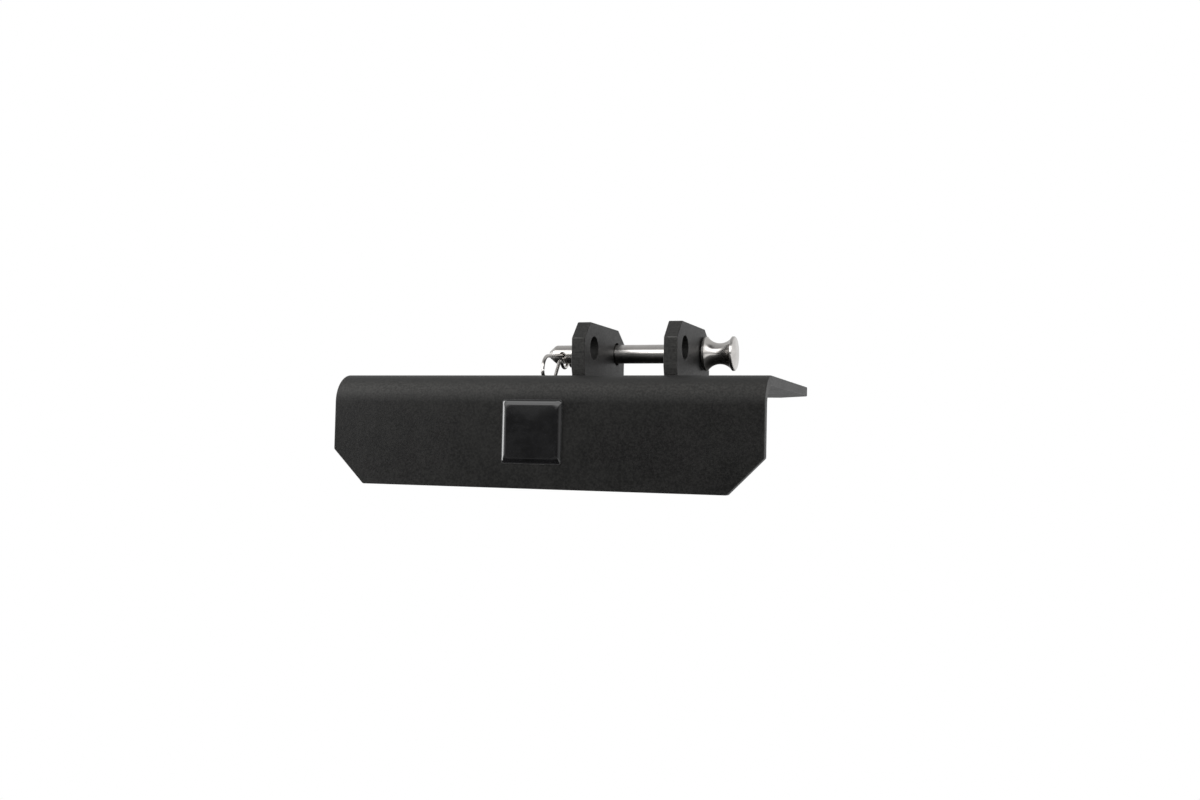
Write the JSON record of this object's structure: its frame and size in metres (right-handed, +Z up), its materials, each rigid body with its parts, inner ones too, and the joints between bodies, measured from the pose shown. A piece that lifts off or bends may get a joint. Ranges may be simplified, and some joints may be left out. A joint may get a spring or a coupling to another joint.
{
  "type": "hitch receiver step",
  "caption": "Hitch-mounted steel step: folded powder-coated plate with drilled ears above it, a turned cross pin with a spool-shaped knob, and a hairpin clip through the pin's nose.",
  "frame": {"origin": "on the axis of the front cross hole, halfway between the ears", "axes": "+X along the cross pin to its knob, +Y to the rear of the step, +Z up"},
  "size_m": [0.356, 0.2055, 0.1335],
  "materials": {
    "powder_coat": "fine-textured satin powder coat",
    "polished_stainless": "polished stainless steel",
    "badge_label": "printed label",
    "badge_resin": "domed gloss resin"
  },
  "bodies": {
    "bracket": {"step_plate": "powder_coat", "left_ear": "powder_coat", "right_ear": "powder_coat", "left_weld": "powder_coat", "right_weld": "powder_coat", "badge_label": "badge_label", "badge_dome": "badge_resin"},
    "pin": {"hitch_pin": "polished_stainless", "pin_clip": "polished_stainless"}
  },
  "joints": [
    {"name": "pin_slide", "type": "slide", "parent": "bracket", "child": "pin", "axis": [1, 0, 0], "range_m": [0, 0.034]}
  ]
}
